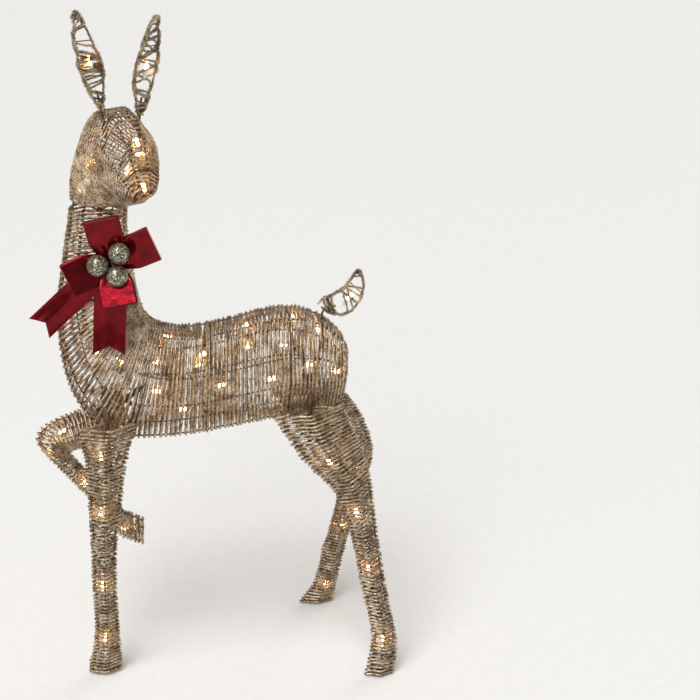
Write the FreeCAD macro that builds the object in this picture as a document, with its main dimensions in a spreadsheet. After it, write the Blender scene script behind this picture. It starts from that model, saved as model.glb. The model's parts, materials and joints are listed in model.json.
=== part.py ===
import FreeCAD, Part
import Sketcher
import math
import os

# A standing doe for the yard: welded wire frames wound with tinsel cord and lit from inside.
# Millimetres, +Z up. The doe's body faces -X, its left side is -Y, and it stands on z = 0.
# The stations below are measured from the body's middle plane; centreX and centreY then move
# every piece so that the origin is under the middle of the bounding box.

os.makedirs("parts", exist_ok=True)
doc = FreeCAD.newDocument("YardDoe")
Vector = FreeCAD.Vector

sizes = {
    "centreX": 8.5,
    "centreY": -1.5,
    "cord": 3,              # thickness of the wound tinsel cord, a thin skin here
    "leafCord": 1.5,        # the finer cord on ears and tail
    "frameWire": 3.2,
    "leafWire": 2.4,
    "lightWire": 2.2,       # twisted pair of the light string
    "lampLead": 8,          # from the light string to the middle of a socket
    "socketDiameter": 7.6,
    "socketLength": 13,
    "bulbDiameter": 5.4,
    "bulbLength": 15,
    "jointGap": 1.2,        # between a leg's skin and the torso's
    "runningGap": 0.08,     # radial clearance of a rod in its tube
    "legRod": 8,
    "legTube": 12,
    "neckPost": 10,
    "neckSleeve": 14,
    "stemWire": 4,          # stems of ears and tail
    "stemSleeve": 7,
    "headX": -178,
    "headTurn": 36,         # the head faces this far round from -Y towards +X
    "ribbonWidth": 62,
    "ribbonThickness": 0.8,
    "bowWire": 1.6,
    "ballDiameter": 38,
    "inletDiameter": 12,
    "inletBore": 6,
    "inletLength": 30,
    "tieWidth": 4.8,
    "tieThickness": 1.4,
}

sheet = doc.addObject("Spreadsheet::Sheet", "Sizes")
for row, (alias, value) in enumerate(sizes.items(), 1):
    sheet.set(f"A{row}", alias)
    sheet.set(f"B{row}", str(value))
    sheet.setAlias(f"B{row}", alias)
doc.recompute()


def size(alias):
    return float(sheet.get(alias))


cord = size("cord")
wire = size("frameWire")
wireDepth = cord + wire / 2 + 0.2
lampDepth = cord + wire + size("socketDiameter") / 2 + 0.6
subParts = []


def keep(feature, label):
    feature.Label = label
    subParts.append(feature)
    return feature


# A piece made in code from the sheet's sizes.
def addShape(label, shape):
    feature = doc.addObject("Part::Feature", label)
    feature.Shape = shape
    feature.Placement = FreeCAD.Placement(Vector(size("centreX"), size("centreY"), 0), FreeCAD.Rotation())
    return keep(feature, label)


# A tube from start to end whose two diameters stay bound to the sheet.
def addTube(label, outerAlias, boreAlias, start, end):
    length = (end - start).Length
    outer = doc.addObject("Part::Cylinder", label + "_outer")
    outer.setExpression("Radius", f"Sizes.{outerAlias} / 2")
    outer.Height = length
    bore = doc.addObject("Part::Cylinder", label + "_bore")
    bore.setExpression("Radius", f"Sizes.{boreAlias} / 2 + Sizes.runningGap")
    bore.Height = length
    tube = doc.addObject("Part::Cut", label)
    tube.Base = outer
    tube.Tool = bore
    turn = FreeCAD.Rotation(Vector(0, 0, 1), end - start)
    tube.Placement = FreeCAD.Placement(start + Vector(size("centreX"), size("centreY"), 0), turn)
    return keep(tube, label)


# ---- hoops: a limb is a row of flat hoops, each a polygon with one long wire at every corner ----

# A hoop's outline from its right half: the first number runs along the hoop, the second across it.
def mirrored(half):
    return half + [(u, -v) for u, v in reversed(half)]


barrelHoop = mirrored([(1, 0.45), (0.36, 1), (-0.2, 1), (-1, 0.4)])
neckHoop = mirrored([(1, 0.42), (0.52, 1), (-0.56, 1), (-1, 0.42)])
headHoop = mirrored([(1, 0.41), (0.41, 1), (-0.41, 1), (-1, 0.41)])
leafHoop = mirrored([(1, 0.55), (0.86, 1), (-0.86, 1), (-1, 0.55)])
legHoop = [(1, 0), (0, 1), (-1, 0), (0, -1)]


def cross2(first, second):
    return first[0] * second[1] - first[1] * second[0]


# Every edge of a counter-clockwise polygon is moved inwards, then neighbours are cut with each other.
def drawnIn(polygon, distance):
    lines = []
    for index, start in enumerate(polygon):
        end = polygon[(index + 1) % len(polygon)]
        length = math.hypot(end[0] - start[0], end[1] - start[1])
        run = ((end[0] - start[0]) / length, (end[1] - start[1]) / length)
        lines.append(((start[0] - run[1] * distance, start[1] + run[0] * distance), run))
    corners = []
    for index, (place, run) in enumerate(lines):
        before, beforeRun = lines[index - 1]
        turn = cross2(beforeRun, run)
        reach = 0 if abs(turn) < 1e-6 else cross2((place[0] - before[0], place[1] - before[1]), run) / turn
        start = place if abs(turn) < 1e-6 else before
        corners.append((start[0] + beforeRun[0] * reach, start[1] + beforeRun[1] * reach))
    return corners


# A row of hoops, each with its two ends in the limb's plane, a half width and an outline.
class Limb:

    def __init__(self, hoops, across):
        self.hoops = hoops
        self.across = across
        self.last = len(hoops) - 1

    # The corners at a place along the row (whole numbers are the hoops), drawn in by depth.
    def ring(self, place, depth=0.0):
        low = max(0, min(int(place), self.last - 1))
        share = place - low
        one, two = self.hoops[low], self.hoops[low + 1]
        first = one[0] * (1 - share) + two[0] * share
        second = one[1] * (1 - share) + two[1] * share
        width = one[2] * (1 - share) + two[2] * share
        middle = (first + second) * 0.5
        along = first - second
        half = along.Length / 2
        along.normalize()
        flat = []
        for (oneU, oneV), (twoU, twoV) in zip(one[3], two[3]):
            u = oneU * (1 - share) + twoU * share
            v = oneV * (1 - share) + twoV * share
            flat.append((u * half, v * width))
        if depth:
            flat = drawnIn(flat, depth)
        return [middle + along * u + self.across * v for u, v in flat]

    # A point under the skin: side counts the outline's corners, so halves are mid-face.
    def spot(self, place, side, depth):
        corners = self.ring(place, depth)
        index = int(side) % len(corners)
        share = side - int(side)
        return corners[index] * (1 - share) + corners[(index + 1) % len(corners)] * share

    def middle(self, place):
        corners = self.ring(place)
        return sum(corners[1:], corners[0]) * (1.0 / len(corners))


# Triangles between two rings of points.
def facets(first, second, flip):
    faces = []
    for index in range(len(first)):
        after = (index + 1) % len(first)
        lower = (first[index], first[after], second[after])
        upper = (first[index], second[after], second[index])
        for three in (lower, upper):
            corners = list(reversed(three)) if flip else list(three)
            faces.append(Part.Face(Part.makePolygon(corners + corners[:1])))
    return faces


# Triangles from a ring to its middle.
def lid(corners, flip):
    middle = sum(corners[1:], corners[0]) * (1.0 / len(corners))
    faces = []
    for index, corner in enumerate(corners):
        after = corners[(index + 1) % len(corners)]
        three = [after, corner, middle] if flip else [corner, after, middle]
        faces.append(Part.Face(Part.makePolygon(three + three[:1])))
    return faces


def closedSolid(faces):
    solid = Part.Solid(Part.Shell(faces))
    if solid.Volume < 0:
        solid.reverse()
    return solid


# The wound cord as a thin tube of flat facets, open at both ends.
def skin(limb, thickness, start=0, end=None):
    places = range(start, (limb.last if end is None else end) + 1)
    outer = [limb.ring(place) for place in places]
    inner = [limb.ring(place, thickness) for place in places]
    faces = facets(outer[0], inner[0], True) + facets(outer[-1], inner[-1], False)
    for index in range(len(outer) - 1):
        faces += facets(outer[index], outer[index + 1], False)
        faces += facets(inner[index], inner[index + 1], True)
    return closedSolid(faces)


# Everything inside a limb's outer face, grown by a clearance.
def block(limb, grow):
    rings = [limb.ring(place, -grow) for place in range(limb.last + 1)]
    faces = lid(rings[0], True) + lid(rings[-1], False)
    for index in range(len(rings) - 1):
        faces += facets(rings[index], rings[index + 1], False)
    return closedSolid(faces)


# ---- bent wire: straight runs joined by tangent arcs ----

# Edges through the points with an arc of about the radius at each inner point.
def bentPath(points, radius):
    edges = []
    pen = points[0]
    for index in range(1, len(points) - 1):
        here = points[index]
        before = points[index - 1] - here
        after = points[index + 1] - here
        turn = math.pi - before.getAngle(after)
        if turn < 0.002:
            continue
        reach = min(radius * math.tan(turn / 2), 0.45 * min(before.Length, after.Length))
        bend = reach / math.tan(turn / 2)
        before.normalize()
        after.normalize()
        inward = before + after
        inward.normalize()
        start = here + before * reach
        middle = here + inward * (bend / math.cos(turn / 2) - bend)
        end = here + after * reach
        edges.append(Part.LineSegment(pen, start).toShape())
        edges.append(Part.Arc(start, middle, end).toShape())
        pen = end
    edges.append(Part.LineSegment(pen, points[-1]).toShape())
    return Part.Wire(edges)


def bentWire(points, diameter, radius):
    path = bentPath(points, radius)
    first = path.Edges[0]
    begin = first.FirstParameter
    ring = Part.makeCircle(diameter / 2, first.valueAt(begin), first.tangentAt(begin))
    solid = path.makePipeShell([Part.Wire([ring])], True, False)
    if solid.Volume < 0:
        solid.reverse()
    wanted = math.pi * diameter ** 2 / 4 * path.Length
    if abs(solid.Volume - wanted) > 0.02 * wanted:
        raise RuntimeError(f"bent wire volume {solid.Volume:.0f} is not {wanted:.0f}")
    return solid


def rod(start, end, diameter):
    return Part.makeCylinder(diameter / 2, (end - start).Length, start, end - start)


# A welded hoop: it starts and ends in the middle of its last side.
def closedWire(corners, diameter, radius):
    weld = (corners[0] + corners[-1]) * 0.5
    return bentWire([weld] + corners + [weld], diameter, radius)


def welded(pieces):
    return pieces[0].multiFuse(pieces[1:])


# Long wires at the corners, hoops across them and rods inside, welded together.
def frame(limb, hoopPlaces, start, end, bars):
    inner = [place for place in range(limb.last + 1) if start + 0.2 < place < end - 0.2]
    rings = [limb.ring(place, wireDepth) for place in [start] + inner + [end]]
    pieces = [bentWire([ring[corner] for ring in rings], wire, 30) for corner in range(len(rings[0]))]
    pieces += [closedWire(limb.ring(place, wireDepth), wire, 5) for place in hoopPlaces]
    return welded(pieces + bars)


# ---- stations of the body, from the rump to the top of the neck ----
# x and z of a hoop's back end, x and z of its belly end, half width

bodyRows = [
    (257, 653, 247, 571, 30),
    (243, 687, 233, 553, 52),
    (223, 708, 213, 545, 66),
    (196, 726, 188, 540, 76),
    (166, 737, 158, 537, 82),
    (126, 740, 118, 534, 85),
    (86, 734, 78, 528, 85),
    (44, 723, 34, 521, 84),
    (2, 715, -12, 514, 84),
    (-38, 709, -58, 508, 84),
    (-68, 710, -102, 506, 84),
    (-94, 716, -145, 507, 83),
    (-114, 726, -188, 510, 81),
    (-124, 736, -222, 529, 79),
    (-130, 746, -250, 565, 76),
    (-134, 759, -268, 603, 73),
    (-137, 774, -279, 647, 69),
    (-139, 790, -284, 695, 65),
    (-141, 807, -284, 743, 61),
    (-144, 831, -279, 797, 57),
    (-147, 859, -269, 847, 53),
    (-149, 891, -260, 891, 50),
    (-148, 927, -252, 927, 48),
    (-144, 964, -245, 964, 47),
]
shoulder = 12
left = Vector(0, 1, 0)


def mixed(first, second, share):
    pairs = zip(first, second)
    return [(a * (1 - share) + c * share, b * (1 - share) + d * share) for (a, b), (c, d) in pairs]


bodyHoops = []
for index, (backX, backZ, bellyX, bellyZ, half) in enumerate(bodyRows):
    share = min(1, max(0, (index - shoulder) / 8))
    outline = mixed(barrelHoop, neckHoop, share)
    bodyHoops.append((Vector(backX, 0, backZ), Vector(bellyX, 0, bellyZ), half, outline))
body = Limb(bodyHoops, left)

# ---- the head, from the neck to the nose, turned to look over the left flank ----
# distance ahead and z of the crown side, the same of the throat side, half width, side shift

headRows = [
    (-59, 966, 39, 966, 48, -13),
    (-57, 997, 45, 969, 51, -11),
    (-51, 1029, 50, 970, 54, -8),
    (-42, 1059, 54, 971, 56, -5),
    (-28, 1087, 57, 971, 58, -2),
    (-10, 1112, 59, 971, 59, 0),
    (12, 1129, 62, 970, 59, 2),
    (36, 1135, 66, 970, 58, 3),
    (60, 1127, 70, 970, 57, 3),
    (80, 1107, 75, 971, 54, 3),
    (95, 1081, 81, 973, 49, 2),
    (107, 1053, 88, 976, 42, 1),
    (117, 1027, 96, 980, 34, 0),
    (123, 1009, 106, 985, 22, 0),
    (123, 999, 114, 990, 10, 0),
]
turn = math.radians(size("headTurn"))
ahead = Vector(math.sin(turn), -math.cos(turn), 0)
beside = Vector(math.cos(turn), math.sin(turn), 0)


def headPoint(out, height, aside=0.0):
    return Vector(size("headX"), 0, height) + ahead * out + beside * aside


head = Limb([(headPoint(out, z, aside), headPoint(throat, throatZ, aside), half, headHoop)
             for out, z, throat, throatZ, half, aside in headRows], beside)

# ---- legs: four long wires each, at the front, back and both sides ----
# x and z of the front end, x and z of the back end, side distance, half depth


def leg(rows):
    return Limb([(Vector(backX, side, backZ), Vector(frontX, side, frontZ), half, legHoop)
                 for frontX, frontZ, backX, backZ, side, half in rows], left)


frontLeft = leg([
    (-285, 0, -212, 0, -54, 17),
    (-281, 27, -210, 27, -54, 17),
    (-271, 60, -211, 56, -54, 16),
    (-265, 97, -211, 94, -54, 16),
    (-262, 136, -211, 133, -54, 17),
    (-262, 177, -211, 174, -54, 18),
    (-260, 229, -209, 226, -54, 19),
    (-258, 280, -205, 277, -54, 20),
    (-257, 333, -198, 330, -54, 22),
    (-256, 382, -188, 379, -54, 23),
    (-254, 431, -182, 427, -54, 25),
    (-255, 472, -174, 468, -54, 27),
    (-258, 496, -165, 500, -54, 28),
    (-264, 518, -155, 523, -54, 29),
    (-255, 545, -147, 550, -54, 29),
    (-235, 575, -144, 580, -54, 28),
    (-210, 600, -142, 605, -54, 27),
])

frontRight = leg([
    (-156, 216, -157, 285, 65, 18),
    (-176, 224, -174, 296, 65, 19),
    (-203, 237, -196, 305, 65, 20),
    (-228, 272, -206, 320, 65, 20),
    (-246, 306, -213, 339, 65, 20),
    (-268, 338, -232, 365, 65, 20),
    (-294, 373, -259, 399, 65, 21),
    (-318, 406, -281, 427, 64, 22),
    (-338, 434, -288, 435, 63, 24),
    (-352, 455, -290, 437, 62, 26),
    (-357, 475, -290, 439, 61, 27),
    (-349, 495, -288, 441, 60, 28),
    (-330, 511, -284, 444, 59, 29),
    (-308, 523, -276, 447, 57, 30),
    (-282, 532, -262, 449, 56, 30),
    (-254, 543, -240, 456, 55, 30),
    (-226, 560, -214, 472, 54, 30),
    (-198, 582, -186, 496, 53, 29),
    (-170, 606, -158, 524, 52, 28),
])

hindLeft = leg([
    (264, 0, 331, 0, -142, 12),
    (270, 21, 337, 17, -139, 12),
    (279, 57, 340, 51, -134, 13),
    (283, 87, 340, 82, -130, 14),
    (280, 123, 332, 119, -124, 16),
    (272, 158, 326, 154, -119, 17),
    (262, 205, 317, 201, -112, 18),
    (255, 259, 310, 257, -104, 20),
    (249, 285, 305, 291, -100, 21),
    (242, 320, 300, 338, -94, 23),
    (233, 350, 296, 375, -89, 24),
    (222, 380, 293, 406, -85, 26),
    (205, 405, 288, 436, -81, 27),
    (182, 428, 280, 464, -78, 28),
    (156, 457, 271, 492, -73, 29),
    (135, 489, 260, 519, -69, 30),
    (115, 522, 250, 543, -65, 30),
    (99, 551, 243, 567, -61, 29),
    (91, 590, 239, 596, -57, 26),
])

hindRight = leg([
    (158, 0, 246, 0, 143, 14),
    (170, 14, 247, 12, 141, 14),
    (183, 34, 249, 28, 139, 14),
    (198, 60, 252, 48, 136, 15),
    (209, 108, 260, 101, 128, 17),
    (216, 155, 269, 150, 121, 18),
    (225, 184, 276, 183, 116, 19),
    (236, 234, 286, 236, 108, 20),
    (244, 272, 299, 290, 101, 22),
    (245, 304, 313, 334, 95, 24),
    (240, 342, 322, 372, 90, 26),
    (229, 375, 323, 402, 85, 27),
    (212, 405, 316, 436, 80, 28),
    (190, 436, 302, 474, 75, 29),
    (164, 466, 286, 505, 70, 30),
    (141, 498, 267, 533, 66, 30),
    (118, 530, 253, 556, 62, 30),
    (102, 558, 244, 574, 59, 29),
    (94, 592, 240, 600, 56, 26),
])

# Each leg hangs on a rod that slides in a tube held by the body's frame.
# limb, tube's lower end, way up the tube, rod's length below it, frame's last place, hoops, weld places
straightUp = Vector(0, 0, 1)
armUp = Vector(0.8, 0, 0.6)
tubeLength = 66
rodInside = 60
hindHoops = (0.45, 4.2, 8.3, 11.4, 14.8)
frontHoops = (0.45, 4.2, 8.3, 11.4)
armHoops = (0.6, 3.3, 6.3, 9.4, 13.3)
legs = {
    "front_left": (frontLeft, Vector(-207, -54, 560), straightUp, 110, 11.8, frontHoops, (9.3, 10.6)),
    "front_right": (frontRight, Vector(-196, 46, 540), armUp, 85, 14.6, armHoops, (13.7, 14.3)),
    "hind_left": (hindLeft, Vector(176, -60, 566), straightUp, 62, 15.3, hindHoops, (14.3, 15.1)),
    "hind_right": (hindRight, Vector(176, 59, 566), straightUp, 62, 15.3, hindHoops, (14.3, 15.1)),
}

# ---- ears and tail: flat leaves ----
# height above the base, distance leant outwards, half width

earRows = [
    (12, 1, 3.5), (24, 4, 8), (44, 8, 15), (66, 13, 21), (92, 19, 24),
    (118, 27, 21), (146, 35, 16), (168, 41, 9), (182, 46, 3.5),
]
leafHalfDepth = 6


def ear(base, outward):
    hoops = []
    for height, out, half in earRows:
        centre = base + Vector(0, 0, height) + beside * (outward * out)
        hoops.append((centre + beside * half, centre - beside * half, leafHalfDepth, leafHoop))
    return Limb(hoops, ahead)


ears = {
    "left": (headPoint(44, 1122, -28), -0.85),
    "right": (headPoint(44, 1101.5, 46), 1.1),
}

tailRows = [
    (206, 742, 197, 750),
    (224, 728, 206, 762),
    (244, 724, 222, 766),
    (265, 731, 240, 776),
    (281, 751, 252, 787),
    (289, 781, 262, 799),
    (285, 803, 269, 809),
    (280, 813, 275, 816),
]
tailHoops = [(Vector(x1, 0, z1), Vector(x2, 0, z2), leafHalfDepth, leafHoop) for x1, z1, x2, z2 in tailRows]
tail = Limb(tailHoops, left)
tailStem = Vector(207, 0, 736)


# The outline wire of an ear or the tail, with two ribs across it and its stem.
def leafFrame(limb, stem):
    inset = size("leafCord") + size("leafWire") / 2 + 0.4
    firsts, seconds = [], []
    for place in range(limb.last + 1):
        first, second = limb.hoops[place][0], limb.hoops[place][1]
        inward = second - first
        inward.normalize()
        firsts.append(first + inward * inset)
        seconds.append(second - inward * inset)
    ribs = []
    for place in (1, limb.last - 3):
        start = firsts[place] * 0.5 + firsts[place + 1] * 0.5
        end = seconds[place] * 0.5 + seconds[place + 1] * 0.5
        ribs.append(rod(start, end, size("leafWire") * 0.8))
    outline = closedWire(firsts[-2:0:-1] + seconds[1:-1], size("leafWire"), 6)
    return welded([outline, stem] + ribs)


# ---- lamps: a socket lying under the cord with a bulb in its mouth, on a string of wire ----

# The socket with its short lead to the string, and the bulb with its round tip.
def lamp(mouth, direction, inward):
    tail = mouth - direction * size("socketLength")
    socket = rod(tail, mouth, size("socketDiameter"))
    root = tail + direction * 3
    socket = socket.fuse(rod(root, root + inward * size("lampLead"), size("lightWire")))
    glass = size("bulbLength") - size("bulbDiameter") / 2
    tip = mouth + direction * glass
    bulb = rod(mouth, tip, size("bulbDiameter")).fuse(Part.makeSphere(size("bulbDiameter") / 2, tip))
    return socket, bulb


# Lamps and their string. Each stop is a place, a side and 1 for a lamp or 0 for the string alone.
def limbLamps(label, limb, route):
    sockets, bulbs, points = [], [], []
    for place, side, lit in route:
        here = limb.spot(place, side, lampDepth)
        inward = limb.spot(place, side, lampDepth + 1) - here
        inward.normalize()
        if lit:
            direction = limb.spot(place + 0.3, side, lampDepth) - limb.spot(place - 0.3, side, lampDepth)
            direction.normalize()
            inward = inward - direction * inward.dot(direction)
            inward.normalize()
            socket, bulb = lamp(here, direction, inward)
            sockets.append(socket)
            bulbs.append(bulb)
            here = here - direction * (size("socketLength") - 3)
        points.append(here + inward * size("lampLead"))
    addShape(label + "_light_string", bentWire(points, size("lightWire"), 8))
    addShape(label + "_bulb_sockets", Part.Compound(sockets))
    addShape(label + "_bulbs", Part.Compound(bulbs))


# ---- skins ----

# Room cut through a skin for a tube.
def tubeSpace(start, end, diameter):
    return rod(start, end, diameter + 1)


bodyCuts = []
for limb, low, direction, below, top, hoops, welds in legs.values():
    bodyCuts.append(tubeSpace(low - direction * 30, low + direction * tubeLength, size("legTube")))
bodyCuts.append(tubeSpace(tailStem - Vector(0, 0, 60), tailStem, size("stemSleeve")))

bowCentre = Vector(-177, -56, 869)
bowUp = Vector(0, 0.13, 0.9915)
bowOut = Vector(0, -0.9915, 0.13)
bowCut = tubeSpace(bowCentre - bowOut * 14, bowCentre + bowOut * 12, size("bowWire"))

torsoSkin = skin(body, cord, 0, shoulder)
neckSkin = skin(body, cord, shoulder, body.last)
for hole in bodyCuts:
    torsoSkin = torsoSkin.cut(hole)
    neckSkin = neckSkin.cut(hole)
addShape("torso_wrap", torsoSkin)
addShape("neck_wrap", neckSkin.cut(bowCut))

bodySpace = block(body, size("jointGap"))
for name, (limb, low, direction, below, top, hoops, welds) in legs.items():
    addShape(f"{name}_leg_wrap", skin(limb, cord).cut(bodySpace))

headSkin = skin(head, cord)
stems = {}
for name, (base, outward) in ears.items():
    lean = Vector(0, 0, 24) + beside * (outward * 4)
    lean.normalize()
    stems[name] = (base - lean * 34, base + lean * 47, lean)
    headSkin = headSkin.cut(tubeSpace(base - lean * 40, base + lean * 8, size("stemSleeve")))
addShape("head_wrap", headSkin)

# ---- frames ----

# Rods from the long wires towards a spot on a post's axis, each ending a little inside the post's face.
def spokes(limb, place, corners, start, axis, radius, thick):
    ring = limb.ring(place, wireDepth)
    bars = []
    for corner in corners:
        reach = start - ring[corner]
        across = reach - axis * reach.dot(axis)
        bars.append(rod(ring[corner], ring[corner] + reach * (1 - (radius - 0.1) / across.Length), thick))
    return bars


postFoot = Vector(-194.5, 0, 868)
postTop = Vector(-194.5, 0, 1012)
sleeveFoot = Vector(-194.5, 0, 968)
sleeveTop = Vector(-194.5, 0, 1032)

torsoBars, neckBars = [], []
for name, (limb, low, direction, below, top, hoops, welds) in legs.items():
    corners = (4, 5) if low.y < 0 else (2, 3)
    hind = name.startswith("hind")
    bars = torsoBars if hind else neckBars
    place = 3.67 if hind else 13.3
    bars += spokes(body, place, corners, low + direction * 45, direction, size("legTube") / 2, wire)
for place, height in ((22.6, 946), (20.6, 878)):
    neckBars += spokes(body, place, (1, 2, 5, 6), Vector(-194.5, 0, height), straightUp, size("neckPost") / 2, wire)
tailJoin = tailStem - Vector(0, 0, 30)
torsoBars += spokes(body, 2.6, (0, 7), tailJoin, straightUp, size("stemSleeve") / 2, size("leafWire"))

addShape("torso_frame", frame(body, (0.3, 4.6, 8.2, 11.5), 0.1, 11.75, torsoBars))
addShape("neck_frame", frame(body, (14.3, 16.4, 18.6, 22.7), 12.25, 22.9, neckBars))

headBars = spokes(head, 0.6, (1, 2, 5, 6), Vector(-194.5, 0, 984), straightUp, size("neckSleeve") / 2, wire)
for name, (foot, top, lean) in stems.items():
    corners = (7, 6) if name == "left" else (0, 1)
    headBars += spokes(head, 7, corners, foot + lean * 12, lean, size("stemSleeve") / 2, size("leafWire"))
addShape("head_frame", frame(head, (0.4, 4.3, 8.3, 11.4), 0.2, 13, headBars))

for name, (limb, low, direction, below, top, hoops, welds) in legs.items():
    rodFoot = low - direction * below
    rodTop = low + direction * rodInside
    bars = [rod(rodFoot, rodTop, size("legRod"))]
    for share, place in zip((0.08, 0.45), welds):
        weld = rodFoot + direction * (below * share)
        ring = limb.ring(place, wireDepth)
        bars += [rod(ring[corner], weld, wire) for corner in (0, 2)]
    addShape(f"{name}_leg_frame", frame(limb, hoops, 0.2, top, bars))
    addTube(f"{name}_leg_tube", "legTube", "legRod", low, low + direction * tubeLength)

addShape("neck_post", rod(postFoot, postTop, size("neckPost")))
addTube("head_sleeve", "neckSleeve", "neckPost", sleeveFoot, sleeveTop)

for name, (base, outward) in ears.items():
    foot, top, lean = stems[name]
    limb = ear(base, outward)
    addShape(f"ear_{name}_wrap", skin(limb, size("leafCord")))
    addShape(f"ear_{name}_frame", leafFrame(limb, rod(foot, top, size("stemWire"))))
    addTube(f"ear_{name}_sleeve", "stemSleeve", "stemWire", foot - lean * 2, base + lean * 6)
    up = limb.middle(5) - limb.middle(3)
    up.normalize()
    socket, bulb = lamp(limb.middle(4), up, up * -1)
    addShape(f"ear_{name}_bulb_socket", socket)
    addShape(f"ear_{name}_bulb", bulb)

tailFoot = tailStem - Vector(0, 0, 50)
tailBend = [tailFoot, tailStem, tail.middle(2)]
tailSkin = skin(tail, size("leafCord")).cut(bentWire(tailBend, size("stemWire") + 1.2, 8))
addShape("tail_wrap", tailSkin)
addShape("tail_frame", leafFrame(tail, bentWire(tailBend, size("stemWire"), 8)))
addTube("tail_sleeve", "stemSleeve", "stemWire", tailFoot - Vector(0, 0, 2), tailStem - Vector(0, 0, 14))
tailRun = tail.middle(4) - tail.middle(3)
tailRun.normalize()
socket, bulb = lamp(tail.middle(3.2), tailRun, tailRun * -1)
addShape("tail_bulb_socket", socket)
addShape("tail_bulb", bulb)

# ---- light strings ----

limbLamps("torso", body, [
    (1.4, 5.5, 1), (3.4, 5.75, 1), (5.3, 5.3, 1), (7.6, 5.5, 1), (9.2, 4.8, 1), (10.6, 5.5, 1),
    (13.7, 5.85, 1), (15.6, 5.3, 1), (17.6, 5.6, 1), (19.4, 5.4, 1), (21.6, 5.6, 1), (21.9, 6.6, 0),
    (21.4, 8.5, 1), (21.5, 9.45, 0), (19.6, 9.5, 1), (17.4, 9.5, 1), (15.4, 9.6, 1), (13.4, 9.4, 1), (10.6, 9.5, 1),
    (8.4, 9.7, 1), (6.2, 9.4, 1), (4.4, 9.6, 1), (2.4, 8.6, 1), (4.2, 7.5, 1), (6.4, 7.4, 1),
    (8.4, 6.6, 1), (10.4, 7.3, 1),
])
limbLamps("head", head, [
    (1.5, 5.5, 1), (5.3, 5.5, 1), (8.9, 5.7, 0), (11.0, 6.5, 0),
    (12.05, 7.5, 1), (9.3, 7.75, 1), (8.2, 9.3, 0), (5.3, 9.5, 1), (2.6, 9.5, 1),
])
limbLamps("front_left_leg", frontLeft, [(2.5, 2.5, 1), (5.4, 2.5, 1), (8.6, 2.4, 1), (11.4, 2.6, 1)])
limbLamps("front_right_leg", frontRight, [(1.6, 2.5, 1), (5.5, 2.5, 1), (8.6, 2.5, 1), (12.4, 2.5, 1)])
limbLamps("hind_left_leg", hindLeft, [(2.6, 2.5, 1), (6.4, 2.5, 1), (9.5, 2.5, 1), (13.4, 2.6, 1)])
limbLamps("hind_right_leg", hindRight, [(2.6, 0.5, 1), (6.4, 0.5, 1), (9.5, 0.5, 1), (13.4, 0.5, 1)])

# ---- power inlet and ties ----

inlet = doc.addObject("PartDesign::Body", "power_inlet")
section = inlet.newObject("Sketcher::SketchObject", "inletSection")
plane = [face for face in inlet.Origin.OriginFeatures if face.Role == "YZ_Plane"][0]
section.AttachmentSupport = [(plane, "")]
section.MapMode = "FlatFace"
for alias in ("inletDiameter", "inletBore"):
    circle = section.addGeometry(Part.Circle(Vector(0, 0, 0), Vector(0, 0, 1), size(alias) / 2), False)
    section.addConstraint(Sketcher.Constraint("Coincident", circle, 3, -1, 1))
    radius = section.addConstraint(Sketcher.Constraint("Diameter", circle, size(alias)))
    section.setExpression(f"Constraints[{radius}]", f"Sizes.{alias}")
barrel = inlet.newObject("PartDesign::Pad", "inletBarrel")
barrel.Profile = section
barrel.setExpression("Length", "Sizes.inletLength")
inlet.Placement = FreeCAD.Placement(Vector(150 + size("centreX"), size("centreY"), 556), FreeCAD.Rotation())
keep(inlet, "power_inlet")

ties = []
for corner in (0, 7, 2, 5):
    low = body.ring(11.7, wireDepth)[corner]
    high = body.ring(12.3, wireDepth)[corner]
    along = high - low
    along.normalize()
    middle = (low + high) * 0.5
    outer = Part.makeCylinder(wire / 2 + size("tieThickness") + 1.4, size("tieWidth"), middle, along)
    bore = Part.makeCylinder(wire / 2 + 1.4, size("tieWidth"), middle, along)
    ties.append(outer.cut(bore))
addShape("neck_ties", Part.Compound(ties))

# ---- bow: two flat loop bands crossing, a pair of tails behind them, three balls on top ----

def bowPoint(across, up, out):
    return bowCentre + Vector(across, 0, 0) + bowUp * up + bowOut * out


# A ribbon closed on itself: flat behind, a raised loop at both ends, pinched in the middle.
def loopBand(angle, reach, low, pinch):
    fold = 12
    profile = []
    for sense in (1, -1):
        half = []
        for step in range(7):
            bend = step * math.pi / 6
            across = reach - fold + fold * math.sin(bend)
            half.append((sense * across, low + fold - fold * math.cos(bend)))
        half += [(sense * (pinch + 16), low + 19), (sense * pinch, low + 2.4)]
        profile += half if sense > 0 else half[::-1]
    half = size("ribbonThickness") / 2
    along = math.radians(angle)
    direction = (math.cos(along), math.sin(along))
    width = size("ribbonWidth")

    def wireOf(points):
        corners = []
        for a, out in points:
            corners.append(bowPoint(a * direction[0] + direction[1] * width / 2,
                                    a * direction[1] - direction[0] * width / 2, out))
        return Part.makePolygon(corners + corners[:1])

    face = Part.Face([wireOf(drawnIn(profile, -half)), wireOf(drawnIn(profile, half))])
    face.validate()
    sweep = bowPoint(-direction[1] * width, direction[0] * width, 0) - bowCentre
    return face.extrude(sweep)


# A flat ribbon end with a swallow-tail notch.
def tailStrip(angle, length, width, low):
    along = math.radians(angle)
    direction = (math.cos(along), math.sin(along))
    side = width / 2
    outline = ((-20, -side), (length, -side), (length - 16, 0), (length, side), (-20, side))
    corners = []
    for a, b in outline:
        across = a * direction[0] - b * direction[1]
        corners.append(bowPoint(across, a * direction[1] + b * direction[0], low))
    face = Part.Face(Part.makePolygon(corners + corners[:1]))
    return face.extrude(bowOut * size("ribbonThickness"))


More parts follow.
